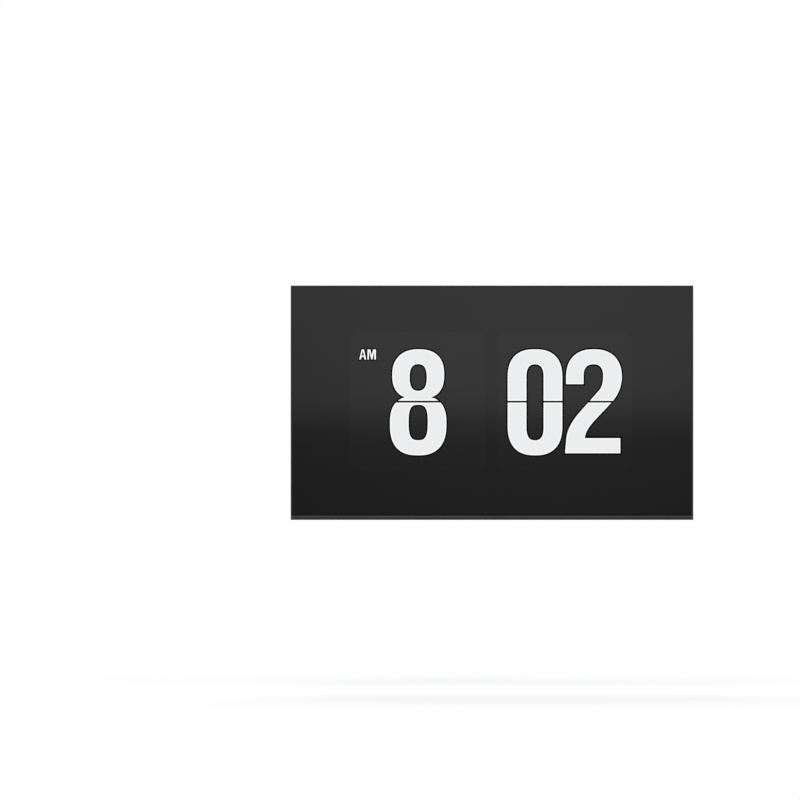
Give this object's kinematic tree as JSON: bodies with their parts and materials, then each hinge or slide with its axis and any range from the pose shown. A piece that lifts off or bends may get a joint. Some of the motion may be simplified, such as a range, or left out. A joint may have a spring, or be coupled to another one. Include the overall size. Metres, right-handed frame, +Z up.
{
  "type": "flat-panel television",
  "caption": "Slim wall-hung television with a thin metal bezel, a chin bar and a moulded rear cover, showing a flip number clock on its screen.",
  "frame": {"origin": "centre of the four wall-bracket holes, on the plane of the rear mounting posts' ends", "axes": "+X to the viewer's right as seen from the front, +Y out of the back towards the wall, +Z up"},
  "size_m": [1.462, 0.06, 0.851],
  "materials": {
    "bezel_aluminium": "satin anodised, dark grey",
    "chin_aluminium": "brushed and anodised, dark grey",
    "receiver_lens": "dark red, see-through to infrared",
    "green_board": "solder resist over glass fibre",
    "brown_board": "bare paper laminate",
    "foam": "closed-cell foam",
    "screen_glass": "anti-glare polariser",
    "black_plastic": "moulded, fine texture",
    "key_plastic": "moulded, satin",
    "optical_film": "stretched polyester film",
    "acrylic": "clear cast sheet",
    "light_strip": "white resist",
    "heat_aluminium": "mill finish",
    "painted_steel": "pre-coated dark grey sheet",
    "plated_steel": "zinc plated",
    "black_screws": "black zinc",
    "copper_film": "polyimide with copper tracks",
    "flat_cable": "polyester insulation",
    "nickel_brass": "nickel plated",
    "ferrite": "sintered, matt",
    "capacitor_sleeve": "shrink sleeve",
    "wire_bundle": "insulated wires",
    "driver_steel": "pressed basket and magnet",
    "cone_paper": "coated paper"
  },
  "bodies": {
    "set": {"bezel_frame": "bezel_aluminium", "chin_trim": "chin_aluminium", "remote_window": "receiver_lens", "remote_board": "green_board", "panel_gasket": "foam", "lcd_cell": "screen_glass", "middle_frame": "black_plastic", "prism_sheet": "optical_film", "diffuser_sheet": "optical_film", "light_guide": "acrylic", "reflector_sheet": "optical_film", "led_heat_spreader": "heat_aluminium", "led_bar": "light_strip", "back_pan": "painted_steel", "source_boards": "green_board", "driver_films": "copper_film", "panel_ribbons": "flat_cable", "mount_rails": "plated_steel", "mount_posts": "plated_steel", "rail_screws": "plated_steel", "board_standoffs": "plated_steel", "board_screws": "plated_steel", "main_board": "green_board", "processor_heat_sink": "heat_aluminium", "hdmi_sockets": "plated_steel", "usb_sockets": "plated_steel", "network_socket": "plated_steel", "optical_socket": "black_plastic", "headphone_socket": "black_plastic", "aerial_socket": "nickel_brass", "timing_board": "green_board", "timing_shield": "plated_steel", "timing_ribbon": "flat_cable", "power_board": "brown_board", "power_transformers": "ferrite", "mains_capacitors": "capacitor_sleeve", "power_heat_sinks": "heat_aluminium", "mains_inlet": "black_plastic", "power_lead": "wire_bundle", "radio_module": "green_board", "key_board": "green_board", "key_escutcheon": "black_plastic", "speaker_box_left": "black_plastic", "speaker_box_right": "black_plastic", "speaker_driver_left": "driver_steel", "speaker_driver_right": "driver_steel", "speaker_pads": "foam", "rear_cover": "black_plastic", "cover_screws": "black_screws", "terminal_tray": "black_plastic", "mains_tray": "black_plastic"},
    "power_key": {"power_key": "key_plastic"},
    "input_key": {"input_key": "key_plastic"},
    "volume_rocker": {"volume_rocker": "key_plastic"},
    "channel_rocker": {"channel_rocker": "key_plastic"},
    "mains_cover": {"mains_cover": "black_plastic"},
    "cone_left": {"speaker_cone_left": "cone_paper"},
    "cone_right": {"speaker_cone_right": "cone_paper"}
  },
  "joints": [
    {"name": "power_key_press", "type": "slide", "parent": "set", "child": "power_key", "axis": [0, -1, 0], "range_m": [0, 0.0008], "stiffness_N_per_m": 300, "springref_m": -0.002},
    {"name": "input_key_press", "type": "slide", "parent": "set", "child": "input_key", "axis": [0, -1, 0], "range_m": [0, 0.0008], "stiffness_N_per_m": 300, "springref_m": -0.002},
    {"name": "volume_rock", "type": "hinge", "parent": "set", "child": "volume_rocker", "pos_m": [0.49, -0.0077, 0.04], "axis": [1, 0, 0], "range_deg": [-3.5, 3.5], "stiffness_Nm_per_rad": 0.08},
    {"name": "channel_rock", "type": "hinge", "parent": "set", "child": "channel_rocker", "pos_m": [0.49, -0.0077, 0], "axis": [1, 0, 0], "range_deg": [-3.5, 3.5], "stiffness_Nm_per_rad": 0.08},
    {"name": "mains_cover_pull", "type": "slide", "parent": "set", "child": "mains_cover", "axis": [0, 1, 0], "range_m": [0, 0.06]},
    {"name": "cone_left_move", "type": "slide", "parent": "set", "child": "cone_left", "axis": [0, 0, 1], "range_m": [-0.0012, 0.0012], "stiffness_N_per_m": 1200},
    {"name": "cone_right_move", "type": "slide", "parent": "set", "child": "cone_right", "axis": [0, 0, 1], "range_m": [-0.0012, 0.0012], "stiffness_N_per_m": 1200}
  ]
}
